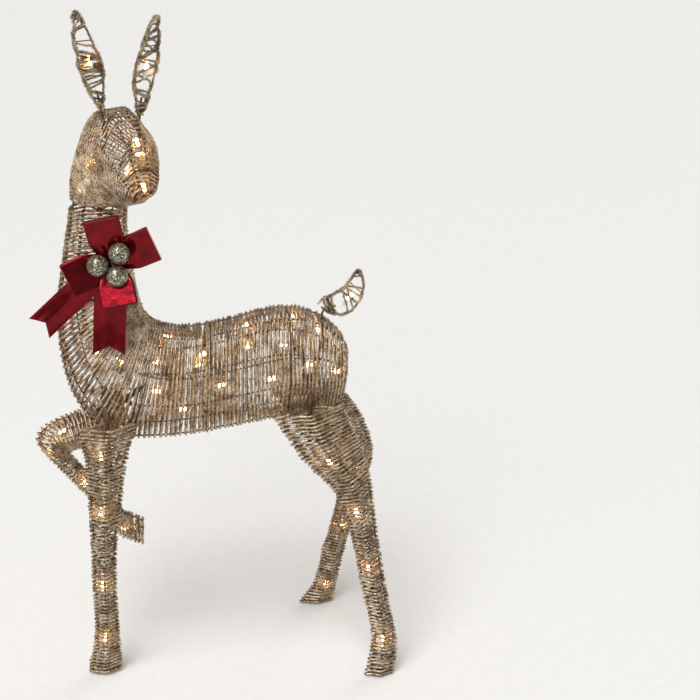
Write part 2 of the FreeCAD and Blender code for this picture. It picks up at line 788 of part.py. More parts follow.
levelBand = loopBand(22, 84, 4.2, 42)
uprightBand = loopBand(99, 80, 8.0, 40)
tails = welded([tailStrip(221, 178, 50, 1.8), tailStrip(265, 172, 58, 1.8)])
addShape("bow_level_loops", levelBand.cut(bowCut))
addShape("bow_upright_loops", uprightBand.cut(bowCut))
addShape("bow_tails", tails.cut(bowCut))

ballSpots = [(16, 17), (-23, -3), (10, -23)]
knot = bowPoint(0, 0, 13.5)
balls, ballStems = [], [rod(bowPoint(0, 0, -9), knot, size("bowWire"))]
for across, up in ballSpots:
    centre = bowPoint(across, up, 12.5 + size("ballDiameter") / 2)
    reach = centre - knot
    inside = 1 - (size("ballDiameter") / 2 - 1) / reach.Length
    balls.append(Part.makeSphere(size("ballDiameter") / 2, centre))
    ballStems.append(rod(knot, knot + reach * inside, size("bowWire")))
addShape("bow_balls", Part.Compound(balls))
addShape("bow_wire", welded(ballStems + [Part.makeSphere(size("bowWire") / 2, knot)]))

# ---- check and write ----

doc.recompute()
for item in doc.Objects:
    if "Invalid" in item.State or "Error" in item.State:
        raise RuntimeError(f"{item.Label} failed: {item.State}")
for feature in subParts:
    shape = feature.Shape
    if shape.isNull() or not shape.isValid() or not shape.Solids:
        raise RuntimeError(f"{feature.Label} has no valid solid")
for feature in subParts:
    feature.Shape.exportStep(f"parts/{feature.Label}.step")
print(f"{len(subParts)} pieces written")
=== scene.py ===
import json
import math
import bpy
import numpy as np
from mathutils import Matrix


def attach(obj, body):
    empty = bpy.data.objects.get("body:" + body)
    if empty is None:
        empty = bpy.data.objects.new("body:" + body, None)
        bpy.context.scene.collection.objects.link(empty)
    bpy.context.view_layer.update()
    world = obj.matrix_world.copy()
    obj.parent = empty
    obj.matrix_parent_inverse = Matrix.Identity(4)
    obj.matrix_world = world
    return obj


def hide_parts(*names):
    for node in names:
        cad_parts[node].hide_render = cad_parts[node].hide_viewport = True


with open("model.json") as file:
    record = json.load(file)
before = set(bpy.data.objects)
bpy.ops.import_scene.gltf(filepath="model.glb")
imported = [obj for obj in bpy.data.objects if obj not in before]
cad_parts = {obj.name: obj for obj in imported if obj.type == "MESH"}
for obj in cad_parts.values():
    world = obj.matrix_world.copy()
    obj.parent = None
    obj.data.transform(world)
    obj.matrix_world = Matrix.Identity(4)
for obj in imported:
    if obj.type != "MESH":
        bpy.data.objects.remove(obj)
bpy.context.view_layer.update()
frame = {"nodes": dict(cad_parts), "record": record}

scene = bpy.context.scene
shift = np.array([8.5, -1.5, 0.0])  # from the doe's own middle plane to the frame's origin, mm

# ---- the doe's hoops, the same stations as the welded frame has, mm ----


def mirrored(half):
    return half + [(u, -v) for u, v in reversed(half)]


barrelHoop = np.array(mirrored([(1, 0.45), (0.36, 1), (-0.2, 1), (-1, 0.4)]), float)
neckHoop = np.array(mirrored([(1, 0.42), (0.52, 1), (-0.56, 1), (-1, 0.42)]), float)
headHoop = np.array(mirrored([(1, 0.41), (0.41, 1), (-0.41, 1), (-1, 0.41)]), float)
leafHoop = np.array(mirrored([(1, 0.55), (0.86, 1), (-0.86, 1), (-1, 0.55)]), float)
legHoop = np.array([(1, 0), (0, 1), (-1, 0), (0, -1)], float)

# back x and z, belly x and z, half width, from the rump to the top of the neck
bodyRows = np.array([
    (257, 653, 247, 571, 30), (243, 687, 233, 553, 52), (223, 708, 213, 545, 66), (196, 726, 188, 540, 76),
    (166, 737, 158, 537, 82), (126, 740, 118, 534, 85), (86, 734, 78, 528, 85), (44, 723, 34, 521, 84),
    (2, 715, -12, 514, 84), (-38, 709, -58, 508, 84), (-68, 710, -102, 506, 84), (-94, 716, -145, 507, 83),
    (-114, 726, -188, 510, 81), (-124, 736, -222, 529, 79), (-130, 746, -250, 565, 76), (-134, 759, -268, 603, 73),
    (-137, 774, -279, 647, 69), (-139, 790, -284, 695, 65), (-141, 807, -284, 743, 61), (-144, 831, -279, 797, 57),
    (-147, 859, -269, 847, 53), (-149, 891, -260, 891, 50), (-148, 927, -252, 927, 48), (-144, 964, -245, 964, 47),
], float)
shoulder = 12

# crown out and z, throat out and z, half width, side shift, from the neck to the nose
headRows = np.array([
    (-59, 966, 39, 966, 48, -13), (-57, 997, 45, 969, 51, -11), (-51, 1029, 50, 970, 54, -8),
    (-42, 1059, 54, 971, 56, -5), (-28, 1087, 57, 971, 58, -2), (-10, 1112, 59, 971, 59, 0),
    (12, 1129, 62, 970, 59, 2), (36, 1135, 66, 970, 58, 3), (60, 1127, 70, 970, 57, 3),
    (80, 1107, 75, 971, 54, 3), (95, 1081, 81, 973, 49, 2), (107, 1053, 88, 976, 42, 1),
    (117, 1027, 96, 980, 34, 0), (123, 1009, 106, 985, 22, 0), (123, 999, 114, 990, 10, 0),
], float)

# front x and z, back x and z, side distance, half depth, from the foot up (the raised leg from its hoof)
legRows = {
    "front_left": [
        (-285, 0, -212, 0, -54, 17), (-281, 27, -210, 27, -54, 17), (-271, 60, -211, 56, -54, 16),
        (-265, 97, -211, 94, -54, 16), (-262, 136, -211, 133, -54, 17), (-262, 177, -211, 174, -54, 18),
        (-260, 229, -209, 226, -54, 19), (-258, 280, -205, 277, -54, 20), (-257, 333, -198, 330, -54, 22),
        (-256, 382, -188, 379, -54, 23), (-254, 431, -182, 427, -54, 25), (-255, 472, -174, 468, -54, 27),
        (-258, 496, -165, 500, -54, 28), (-264, 518, -155, 523, -54, 29), (-255, 545, -147, 550, -54, 29),
    ],
    "front_right": [
        (-156, 216, -157, 285, 65, 18), (-176, 224, -174, 296, 65, 19), (-203, 237, -196, 305, 65, 20),
        (-228, 272, -206, 320, 65, 20), (-246, 306, -213, 339, 65, 20), (-268, 338, -232, 365, 65, 20),
        (-294, 373, -259, 399, 65, 21), (-318, 406, -281, 427, 64, 22), (-338, 434, -288, 435, 63, 24),
        (-352, 455, -290, 437, 62, 26), (-357, 475, -290, 439, 61, 27), (-349, 495, -288, 441, 60, 28),
        (-330, 511, -284, 444, 59, 29), (-308, 523, -276, 447, 57, 30), (-282, 532, -262, 449, 56, 30),
        (-254, 543, -240, 456, 55, 30), (-226, 560, -214, 472, 54, 30), (-198, 582, -186, 496, 53, 29),
        (-184, 594, -172, 510, 52.5, 28.5),
    ],
    "hind_left": [
        (264, 0, 331, 0, -142, 12), (270, 21, 337, 17, -139, 12), (279, 57, 340, 51, -134, 13),
        (283, 87, 340, 82, -130, 14), (280, 123, 332, 119, -124, 16), (272, 158, 326, 154, -119, 17),
        (262, 205, 317, 201, -112, 18), (255, 259, 310, 257, -104, 20), (249, 285, 305, 291, -100, 21),
        (242, 320, 300, 338, -94, 23), (233, 350, 296, 375, -89, 24), (222, 380, 293, 406, -85, 26),
        (205, 405, 288, 436, -81, 27), (182, 428, 280, 464, -78, 28), (156, 457, 271, 492, -73, 29),
        (135, 489, 260, 519, -69, 30), (115, 522, 250, 543, -65, 30), (99, 551, 243, 567, -61, 29),
    ],
    "hind_right": [
        (158, 0, 246, 0, 143, 14), (170, 14, 247, 12, 141, 14), (183, 34, 249, 28, 139, 14),
        (198, 60, 252, 48, 136, 15), (209, 108, 260, 101, 128, 17), (216, 155, 269, 150, 121, 18),
        (225, 184, 276, 183, 116, 19), (236, 234, 286, 236, 108, 20), (244, 272, 299, 290, 101, 22),
        (245, 304, 313, 334, 95, 24), (240, 342, 322, 372, 90, 26), (229, 375, 323, 402, 85, 27),
        (212, 405, 316, 436, 80, 28), (190, 436, 302, 474, 75, 29), (164, 466, 286, 505, 70, 30),
        (141, 498, 267, 533, 66, 30), (118, 530, 253, 556, 62, 30), (102, 558, 244, 574, 59, 29),
    ],
}

headTurn = math.radians(36)
ahead = np.array([math.sin(headTurn), -math.cos(headTurn), 0.0])
beside = np.array([math.cos(headTurn), math.sin(headTurn), 0.0])


# A limb is a stack of hoops: two ends, a half width across and an outline for each.
def limbOf(first, second, half, outline, across):
    return {"first": first, "second": second, "half": half, "outline": outline, "across": np.asarray(across, float)}


def flatPoints(x, y, z):
    return np.stack([x, np.broadcast_to(y, x.shape), z], 1)


def bodyLimb():
    share = np.clip((np.arange(len(bodyRows)) - shoulder) / 8, 0, 1)[:, None, None]
    outline = barrelHoop * (1 - share) + neckHoop * share
    back = flatPoints(bodyRows[:, 0], 0.0, bodyRows[:, 1])
    belly = flatPoints(bodyRows[:, 2], 0.0, bodyRows[:, 3])
    return limbOf(back, belly, bodyRows[:, 4], outline, (0, 1, 0))


def headPoint(out, height, aside):
    base = np.array([-178.0, 0.0, 0.0])
    up = np.array([0.0, 0.0, 1.0])
    return base + ahead * np.asarray(out, float)[..., None] + beside * np.asarray(aside, float)[..., None] \
        + up * np.asarray(height, float)[..., None]


def headLimb():
    crown = headPoint(headRows[:, 0], headRows[:, 1], headRows[:, 5])
    throat = headPoint(headRows[:, 2], headRows[:, 3], headRows[:, 5])
    return limbOf(crown, throat, headRows[:, 4], np.tile(headHoop, (len(headRows), 1, 1)), beside)


def legLimb(name):
    rows = np.array(legRows[name], float)
    front = flatPoints(rows[:, 0], rows[:, 4], rows[:, 1])
    back = flatPoints(rows[:, 2], rows[:, 4], rows[:, 3])
    return limbOf(back, front, rows[:, 5], np.tile(legHoop, (len(rows), 1, 1)), (0, 1, 0))


earRows = np.array([
    (12, 1, 3.5), (24, 4, 8), (44, 8, 15), (66, 13, 21), (92, 19, 24),
    (118, 27, 21), (146, 35, 16), (168, 41, 9), (182, 46, 3.5),
], float)
earPlaces = {"left": ((44, 1122, -28), -0.85), "right": ((44, 1101.5, 46), 1.1)}


def earLimb(name):
    (out, height, aside), outward = earPlaces[name]
    centre = headPoint(np.full(len(earRows), out), height + earRows[:, 0], aside + outward * earRows[:, 1])
    half = beside * earRows[:, 2:3]
    hoops = np.tile(leafHoop, (len(earRows), 1, 1))
    return limbOf(centre + half, centre - half, np.full(len(earRows), 6.0), hoops, ahead)


tailRows = np.array([
    (206, 742, 197, 750), (224, 728, 206, 762), (244, 724, 222, 766), (265, 731, 240, 776),
    (281, 751, 252, 787), (289, 781, 262, 799), (285, 803, 269, 809), (280, 813, 275, 816),
], float)


def tailLimb():
    low = flatPoints(tailRows[:, 0], 0.0, tailRows[:, 1])
    high = flatPoints(tailRows[:, 2], 0.0, tailRows[:, 3])
    return limbOf(low, high, np.full(len(tailRows), 6.0), np.tile(leafHoop, (len(tailRows), 1, 1)), (0, 1, 0))


def crossOf(one, two):
    return one[..., 0] * two[..., 1] - one[..., 1] * two[..., 0]


# Each edge of each outline is moved inwards by the depth, and a corner is where neighbouring edges then meet.
def drawnIn(flat, depth):
    run = np.roll(flat, -1, 1) - flat
    run /= np.linalg.norm(run, axis=2, keepdims=True)
    place = flat + np.stack([-run[..., 1], run[..., 0]], 2) * depth
    before, beforeRun = np.roll(place, 1, 1), np.roll(run, 1, 1)
    reach = crossOf(place - before, run) / crossOf(beforeRun, run)
    return before + beforeRun * reach[..., None]


# Corners of the hoop at each place: the rows either side are mixed, then u runs between the ends and v across.
def ringAt(limb, place, depth):
    low = np.clip(place.astype(int), 0, len(limb["half"]) - 2)
    share = (place - low)[:, None]
    first = limb["first"][low] * (1 - share) + limb["first"][low + 1] * share
    second = limb["second"][low] * (1 - share) + limb["second"][low + 1] * share
    half = limb["half"][low] * (1 - share[:, 0]) + limb["half"][low + 1] * share[:, 0]
    outline = limb["outline"][low] * (1 - share[..., None]) + limb["outline"][low + 1] * share[..., None]
    middle, along = (first + second) / 2, (first - second) / 2
    reach = np.linalg.norm(along, axis=1)
    flat = drawnIn(outline * np.stack([reach, half], 1)[:, None, :], depth)
    along = along / reach[:, None]
    points = middle[:, None, :] + along[:, None, :] * flat[..., :1] + limb["across"] * flat[..., 1:]
    return points, middle


# The places of evenly spaced stations, measured along the middle line of the limb's spacing corners.
def evenPlaces(limb, start, end, count):
    fine = np.linspace(start, end, 400)
    measured = ringAt(limb, fine, 0.0)[0][:, limb.get("spacedBy", slice(None))].mean(1)
    length = np.concatenate([[0], np.cumsum(np.linalg.norm(np.diff(measured, axis=0), axis=1))])
    return np.interp(np.linspace(0, length[-1], count), length, fine), length[-1]


# A cord wound round a limb: a corner at a time, each turn one pitch further on, with a little unevenness.
def woundPath(limb, start, end, pitch, depth, seed, way, uneven):
    sides = limb["outline"].shape[1]
    length = evenPlaces(limb, start, end, 2)[1]
    turns = max(2, int(round(length / pitch)))
    place = evenPlaces(limb, start, end, turns * sides + 1)[0]
    rng = np.random.default_rng(seed)
    offset = rng.normal(0, uneven, turns + 1)
    offset[[0, -1]] = 0
    step = (end - start) / turns
    place = place + np.interp(np.arange(len(place)), np.arange(turns + 1) * sides, offset) * step
    place = np.clip(place, start, end)
    corners, middle = ringAt(limb, place, depth)
    corner = (np.arange(len(place)) * way) % sides
    return corners[np.arange(len(place)), corner], middle


# A line of points spaced evenly along the straight runs between the given points, with the middle line beside it.
def evenLine(points, middle, gap):
    length = np.concatenate([[0], np.cumsum(np.linalg.norm(np.diff(points, axis=0), axis=1))])
    at = np.linspace(0, length[-1], max(3, int(length[-1] / gap)))
    line = np.stack([np.interp(at, length, points[:, axis]) for axis in range(3)], 1)
    core = np.stack([np.interp(at, length, middle[:, axis]) for axis in range(3)], 1)
    return line, core, at


# Wanders off a straight line by a sum of three slow waves in each direction, fixed by the seed.
def wander(at, size, seed):
    rng = np.random.default_rng(seed)
    wave = rng.uniform(11, 43, (3, 3))
    phase = rng.uniform(0, 6.3, (3, 3))
    return size * np.sin(at[:, None, None] * 2 * math.pi / wave + phase).sum(2) / 1.7


# Surface of a cord: at each point of its line stands a ring whose radius swells twice round it and turns with
# the lay, which gives two plies. The ends are closed by a middle point.
def cordSurface(line, core, at, cord):
    tangent = np.gradient(line, axis=0)
    tangent /= np.linalg.norm(tangent, axis=1, keepdims=True) + 1e-12
    outward = line - core
    outward -= tangent * (outward * tangent).sum(1, keepdims=True)
    outward /= np.linalg.norm(outward, axis=1, keepdims=True) + 1e-12
    side = np.cross(tangent, outward)
    count = cord["sides"]
    angle = np.arange(count) * 2 * math.pi / count
    radius = cord["thick"] / 2 * (1 + cord["swell"] * np.cos(2 * (angle - (at * 2 * math.pi / cord["lay"])[:, None])))
    rings = line[:, None, :] + outward[:, None, :] * (radius * np.cos(angle))[..., None] \
        + side[:, None, :] * (radius * np.sin(angle))[..., None]
    total = len(line) * count
    one = np.arange((len(line) - 1) * count)
    row, column = one // count, one % count
    after = (column + 1) % count
    quads = np.stack([row * count + column, row * count + after,
                      (row + 1) * count + after, (row + 1) * count + column], 1)
    edge = np.arange(count)
    over = (edge + 1) % count
    low = np.stack([np.full(count, total), over, edge], 1)
    high = np.stack([np.full(count, total + 1), total - count + edge, total - count + over], 1)
    points = np.concatenate([rings.reshape(-1, 3), line[:1], line[-1:]])
    return points, quads, np.concatenate([low, high])


# Foil slivers: slim three-sided spikes that stand out of the cord at seeded random places and slants.
def slivers(line, core, cord, seed):
    rng = np.random.default_rng(seed)
    length = np.linalg.norm(np.diff(line, axis=0), axis=1).sum()
    count = int(length / cord["sliverGap"])
    pick = np.sort(rng.integers(1, len(line) - 1, count))
    foot = line[pick]
    along = line[pick + 1] - line[pick - 1]
    along /= np.linalg.norm(along, axis=1, keepdims=True) + 1e-12
    lean = rng.normal(0, 1, (count, 3))
    lean -= along * (lean * along).sum(1, keepdims=True)
    lean /= np.linalg.norm(lean, axis=1, keepdims=True) + 1e-12
    wide = np.cross(along, lean)
    reach = lean * rng.uniform(0.8, 1.15, (count, 1)) * cord["sliverLength"]
    tip = foot + reach + along * rng.normal(0, 1.1, (count, 1))
    half = cord["sliverWidth"] / 2
    root = lean * cord["thick"] * 0.25
    foot = foot + root
    points = np.stack([foot + wide * half, foot - wide * half, foot + along * half * 1.6, tip], 1)
    base = np.arange(count)[:, None] * 4
    faces = np.concatenate([base + [0, 1, 3], base + [1, 2, 3], base + [2, 0, 3], base + [0, 2, 1]])
    return points.reshape(-1, 3), faces


# Puts points in mm and faces of three or four corners into a new mesh object, in metres and in the frame's place.
def meshObject(name, points, faceLists, material, smooth=True):
    mesh = bpy.data.meshes.new(name)
    loops = np.concatenate([faces.ravel() for faces in faceLists]).astype(np.int32)
    sizes = np.concatenate([np.full(len(faces), faces.shape[1]) for faces in faceLists])
    starts = np.concatenate([[0], np.cumsum(sizes)[:-1]]).astype(np.int32)
    mesh.vertices.add(len(points))
    mesh.vertices.foreach_set("co", ((points + shift) / 1000).astype(np.float32).ravel())
    mesh.loops.add(len(loops))
    mesh.loops.foreach_set("vertex_index", loops)
    mesh.polygons.add(len(starts))
    mesh.polygons.foreach_set("loop_start", starts)
    mesh.polygons.foreach_set("use_smooth", np.full(len(starts), smooth))
    mesh.update(calc_edges=True)
    mesh.validate()
    piece = bpy.data.objects.new(name, mesh)
    scene.collection.objects.link(piece)
    mesh.materials.append(material)
    return piece


# ---- materials ----


def colourOf(code, alpha=1.0):
    parts = [int(code[start:start + 2], 16) / 255 for start in (1, 3, 5)]
    return [part / 12.92 if part <= 0.04045 else ((part + 0.055) / 1.055) ** 2.4 for part in parts] + [alpha]


def newMaterial(name):
    material = bpy.data.materials.new(name)
    material.use_nodes = True
    tree = material.node_tree
    return material, tree, tree.nodes["Principled BSDF"]


# Adds a node, sets its properties and inputs, and joins any input that is given as another node's output.
def addNode(tree, kind, settings=None, **inputs):
    node = tree.nodes.new(kind)
    for key, value in (settings or {}).items():
        setattr(node, key, value)
    for key, value in inputs.items():
        socket = node.inputs[key.replace("_", " ")]
        if isinstance(value, bpy.types.NodeSocket):
            tree.links.new(value, socket)
        else:
            socket.default_value = value
    return node


def setRamp(node, stops):
    elements = node.color_ramp.elements
    while len(elements) > 1:
        elements.remove(elements[-1])
    elements[0].position, elements[0].color = stops[0][0], colourOf(stops[0][1])
    for position, code in stops[1:]:
        elements.new(position).color = colourOf(code)


# Metallised film slit and twisted into tinsel cord: champagne, glinting at every fold of the film.
def tinselMaterial(name, stops, roughness):
    material, tree, shader = newMaterial(name)
    place = addNode(tree, "ShaderNodeTexCoord").outputs["Object"]
    fold = addNode(tree, "ShaderNodeTexVoronoi", {"feature": "F1"}, Vector=place, Scale=620.0)      # folds 1.6 mm apart
    drift = addNode(tree, "ShaderNodeTexNoise", None, Vector=place, Scale=55.0, Detail=3.0)         # tone drifts over 18 mm
    tone = addNode(tree, "ShaderNodeMath", {"operation": "ADD"})
    part = addNode(tree, "ShaderNodeSeparateColor", None, Color=fold.outputs["Color"])
    soft = addNode(tree, "ShaderNodeMath", {"operation": "MULTIPLY"})
    tree.links.new(part.outputs["Red"], soft.inputs[0])
    soft.inputs[1].default_value = 0.45
    tree.links.new(soft.outputs[0], tone.inputs[0])
    tree.links.new(drift.outputs["Fac"], tone.inputs[1])
    ramp = addNode(tree, "ShaderNodeValToRGB", None, Fac=tone.outputs[0])
    setRamp(ramp, stops)
    tree.links.new(ramp.outputs["Color"], shader.inputs["Base Color"])
    bump = addNode(tree, "ShaderNodeBump", None, Height=part.outputs["Green"], Strength=0.55, Distance=0.0006)
    tree.links.new(bump.outputs["Normal"], shader.inputs["Normal"])
    shader.inputs["Metallic"].default_value = 0.72
    shader.inputs["Roughness"].default_value = roughness
    return material


# Powder coat on drawn wire: a dull bronze brown with a faint orange peel.
def wireMaterial():
    material, tree, shader = newMaterial("bronze powder coated wire")
    place = addNode(tree, "ShaderNodeTexCoord").outputs["Object"]
    peel = addNode(tree, "ShaderNodeTexNoise", None, Vector=place, Scale=700.0, Detail=2.0)         # peel 1.4 mm apart
    ramp = addNode(tree, "ShaderNodeValToRGB", None, Fac=peel.outputs["Fac"])
    setRamp(ramp, [(0.3, "#4A3A2A"), (0.7, "#63503B")])
    tree.links.new(ramp.outputs["Color"], shader.inputs["Base Color"])
    bump = addNode(tree, "ShaderNodeBump", None, Height=peel.outputs["Fac"], Strength=0.15, Distance=0.0003)
    tree.links.new(bump.outputs["Normal"], shader.inputs["Normal"])
    shader.inputs["Metallic"].default_value = 0.3
    shader.inputs["Roughness"].default_value = 0.45
    return material


# Zinc plated steel tube, passivated to a dull bronze grey and slightly cloudy.
def tubeMaterial():
    material, tree, shader = newMaterial("zinc plated drawn tube")
    place = addNode(tree, "ShaderNodeTexCoord").outputs["Object"]
    cloud = addNode(tree, "ShaderNodeTexNoise", None, Vector=place, Scale=120.0, Detail=4.0)        # clouds 8 mm across
    ramp = addNode(tree, "ShaderNodeValToRGB", None, Fac=cloud.outputs["Fac"])
    setRamp(ramp, [(0.3, "#544737"), (0.7, "#76664F")])
    tree.links.new(ramp.outputs["Color"], shader.inputs["Base Color"])
    shader.inputs["Metallic"].default_value = 1.0
    shader.inputs["Roughness"].default_value = 0.34
    return material


# Moulded ABS or extruded PVC in one colour with a fine grain.
def plasticMaterial(name, dark, light, roughness):
    material, tree, shader = newMaterial(name)
    place = addNode(tree, "ShaderNodeTexCoord").outputs["Object"]
    grain = addNode(tree, "ShaderNodeTexNoise", None, Vector=place, Scale=900.0, Detail=2.0)        # grain 1.1 mm
    ramp = addNode(tree, "ShaderNodeValToRGB", None, Fac=grain.outputs["Fac"])
    setRamp(ramp, [(0.3, dark), (0.7, light)])
    tree.links.new(ramp.outputs["Color"], shader.inputs["Base Color"])
    shader.inputs["Roughness"].default_value = roughness
    return material


# Glass mini lamp, lit: the filament's warm light fills the glass, uneven over a few mm.
def lampMaterial():
    material, tree, shader = newMaterial("lit glass mini lamp")
    place = addNode(tree, "ShaderNodeTexCoord").outputs["Object"]
    glow = addNode(tree, "ShaderNodeTexNoise", None, Vector=place, Scale=260.0, Detail=1.0)         # varies over 4 mm
    ramp = addNode(tree, "ShaderNodeValToRGB", None, Fac=glow.outputs["Fac"])
    setRamp(ramp, [(0.3, "#FFB05E"), (0.7, "#FFCB8E")])
    tree.links.new(ramp.outputs["Color"], shader.inputs["Emission Color"])
    shader.inputs["Emission Strength"].default_value = lamps["strength"]
    shader.inputs["Base Color"].default_value = colourOf("#FFE9CC")
    shader.inputs["Roughness"].default_value = 0.12
    return material


# Metallised polyester ribbon: deep red and mirror-like under a thin clear coat, faintly creased.
def foilMaterial():
    material, tree, shader = newMaterial("red metallised ribbon")
    place = addNode(tree, "ShaderNodeTexCoord").outputs["Object"]
    crease = addNode(tree, "ShaderNodeTexNoise", None, Vector=place, Scale=48.0, Detail=3.0)        # creases 20 mm apart
    ramp = addNode(tree, "ShaderNodeValToRGB", None, Fac=crease.outputs["Fac"])
    setRamp(ramp, [(0.3, "#5C0410"), (0.7, "#800716")])
    tree.links.new(ramp.outputs["Color"], shader.inputs["Base Color"])
    bump = addNode(tree, "ShaderNodeBump", None, Height=crease.outputs["Fac"], Strength=0.08, Distance=0.004)
    tree.links.new(bump.outputs["Normal"], shader.inputs["Normal"])
    shader.inputs["Metallic"].default_value = 0.9
    shader.inputs["Roughness"].default_value = 0.17
    shader.inputs["Coat Weight"].default_value = 0.18
    shader.inputs["Coat Roughness"].default_value = 0.06
    return material


# Glitter flakes glued on a plastic ball: every flake about 1.5 mm and tilted its own way.
def glitterMaterial():
    material, tree, shader = newMaterial("champagne glitter on moulded ball")
    place = addNode(tree, "ShaderNodeTexCoord").outputs["Object"]
    flake = addNode(tree, "ShaderNodeTexVoronoi", None, Vector=place, Scale=640.0)
    part = addNode(tree, "ShaderNodeSeparateColor", None, Color=flake.outputs["Color"])
    ramp = addNode(tree, "ShaderNodeValToRGB", None, Fac=part.outputs["Blue"])
    setRamp(ramp, [(0.0, "#2F2B1D"), (0.7, "#837C63"), (1.0, "#F6F2E2")])
    tree.links.new(ramp.outputs["Color"], shader.inputs["Base Color"])
    bump = addNode(tree, "ShaderNodeBump", None, Height=part.outputs["Red"], Strength=0.9, Distance=0.0008)
    tree.links.new(bump.outputs["Normal"], shader.inputs["Normal"])
    shader.inputs["Metallic"].default_value = 0.7
    shader.inputs["Roughness"].default_value = 0.3
    return material


lamps = {"strength": 36.0}
champagne = tinselMaterial("twisted metallised tinsel", [(0.2, "#2B1D11"), (0.55, "#765B3E"), (0.95, "#E3D0B2")], 0.34)
fineChampagne = tinselMaterial("fine twisted tinsel", [(0.2, "#21170F"), (0.55, "#5C4833"), (0.95, "#D2BF9D")], 0.34)
bronze = wireMaterial()
zinc = tubeMaterial()
ivory = plasticMaterial("moulded ivory socket", "#E6E0D0", "#F3EEE2", 0.42)
lead = plasticMaterial("extruded clear lead", "#D9D3C2", "#EBE6D8", 0.35)
nylon = plasticMaterial("black nylon tie", "#101011", "#1C1C1E", 0.5)
lampGlass = lampMaterial()
foil = foilMaterial()
glitter = glitterMaterial()
slotMaterials = {
    "tinsel": champagne, "frame_wire": bronze, "tube_steel": zinc, "socket_plastic": ivory, "light_lead": lead,
    "lamp_glass": lampGlass, "tie_nylon": nylon, "red_foil": foil, "ball_glitter": glitter, "bow_wire": zinc,
}
for part in frame["record"]["subparts"]:
    node = frame["nodes"][part["node"]]
    node.data.materials.clear()
    node.data.materials.append(slotMaterials[part["material_slot"]])
print("materials set on the welded frame and the lamps")

# ---- tinsel cord wound round every limb ----

# mm; the lay is one turn of the two plies, and the pitch is from turn to turn
tinsel = {"thick": 4.9, "swell": 0.24, "lay": 13.0, "sides": 5, "gap": 3.2, "pitch": 7.9,
          "sliverGap": 2.7, "sliverLength": 5.2, "sliverWidth": 1.5}
leafTinsel = {"thick": 3.3, "swell": 0.24, "lay": 10.0, "sides": 6, "gap": 2.2, "pitch": 40.0,
              "sliverGap": 0.9, "sliverLength": 4.4, "sliverWidth": 1.3}


# Joins the surfaces and slivers of one or more wound lines into one piece.
def woundPiece(name, lines, cord, body, node, seed, material=champagne):
    points, quads, threes, count = [], [], [], 0
    for number, (line, core, at) in enumerate(lines):
        line = line + wander(at, 0.45, seed + number)
        surface, four, three = cordSurface(line, core, at, cord)
        spikes, spikeFaces = slivers(line, core, cord, seed + 50 + number)
        quads.append(four + count)
        threes += [three + count, spikeFaces + count + len(surface)]
        points += [surface, spikes]
        count += len(surface) + len(spikes)
    piece = meshObject(name, np.concatenate(points), [np.concatenate(quads), np.concatenate(threes)], material)
    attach(piece, body)
    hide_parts(node)
    print(name, "faces", len(piece.data.polygons))
    return piece


def woundLine(limb, start, end, cord, seed, way=1, uneven=0.12):
    points, middle = woundPath(limb, start, end, cord["pitch"], cord["thick"] * 0.3, seed, way, uneven)
    return evenLine(points, middle, cord["gap"])


body = bodyLimb()
woundPiece("torso_winding", [woundLine(body, 0.0, 12.0, tinsel, 3)], tinsel, "body", "torso_wrap", 11)
woundPiece("neck_winding", [woundLine(body, 12.05, 22.82, tinsel, 4)], tinsel, "body", "neck_wrap", 12)
# finer than the body's, and spaced between crown and throat, because its turns fan out over the crown
headTinsel = dict(tinsel, pitch=5.8, thick=3.4, gap=2.8, sliverLength=3.2, sliverGap=4.0)
crowned = dict(headLimb(), spacedBy=[0, 7, 2, 5])
woundPiece("head_winding", [woundLine(crowned, 0.1, 13.98, headTinsel, 5)], headTinsel, "head", "head_wrap", 13)
for number, name in enumerate(legRows):
    limb = legLimb(name)
    last = len(limb["half"]) - 1.02
    woundPiece(name + "_leg_winding", [woundLine(limb, 0.1, last, tinsel, 20 + number)], tinsel,
               name + "_leg", name + "_leg_wrap", 30 + number)


# A leaf's edge: the first and second ends of its hoops, followed up one side and down the other.
def leafEdge(limb, cord):
    inset = (limb["second"] - limb["first"])
    inset = inset / np.linalg.norm(inset, axis=1, keepdims=True) * 2.0
    middle = (limb["first"] + limb["second"]) / 2
    points = np.concatenate([limb["first"] + inset, (limb["second"] - inset)[::-1]])
    return evenLine(points, np.concatenate([middle, middle[::-1]]), cord["gap"])


# A leaf's lattice: lines wound both ways from two starts, with its edge.
def leafLattice(limb, last, seed):
    lines = [leafEdge(limb, leafTinsel)]
    for step, start in enumerate((0.3, 1.3)):
        for way in (1, -1):
            lines.append(woundLine(limb, start, last - 0.2 * step, leafTinsel, seed + 2 * step + way, way, uneven=1.4))
    return lines


for number, name in enumerate(("left", "right")):
    lines = leafLattice(earLimb(name), 7.9, 40 + 10 * number)
    woundPiece(f"ear_{name}_winding", lines, leafTinsel, f"{name}_ear", f"ear_{name}_wrap", 60 + number, fineChampagne)
woundPiece("tail_winding", leafLattice(tailLimb(), 6.9, 90), leafTinsel, "tail", "tail_wrap", 70, fineChampagne)
print("limbs wound")

# ---- bow ----

bow = {"centre": (-177.0, -56.0, 869.0), "width": 62.0, "film": 0.5, "loopHeight": 25.0}
bowUp = np.array([0.0, 0.13, 0.9915])
bowOut = np.array([0.0, -0.9915, 0.13])
bowAcross = np.array([1.0, 0.0, 0.0])


def bowPoints(across, up, out):
    return np.array(bow["centre"]) + bowAcross * across[..., None] + bowUp * up[..., None] + bowOut * out[..., None]


def gridFaces(rows, columns):
    row, column = np.meshgrid(np.arange(rows - 1), np.arange(columns - 1), indexing="ij")
    start = (row * columns + column).ravel()
    return np.stack([start, start + 1, start + columns + 1, start + columns], 1)


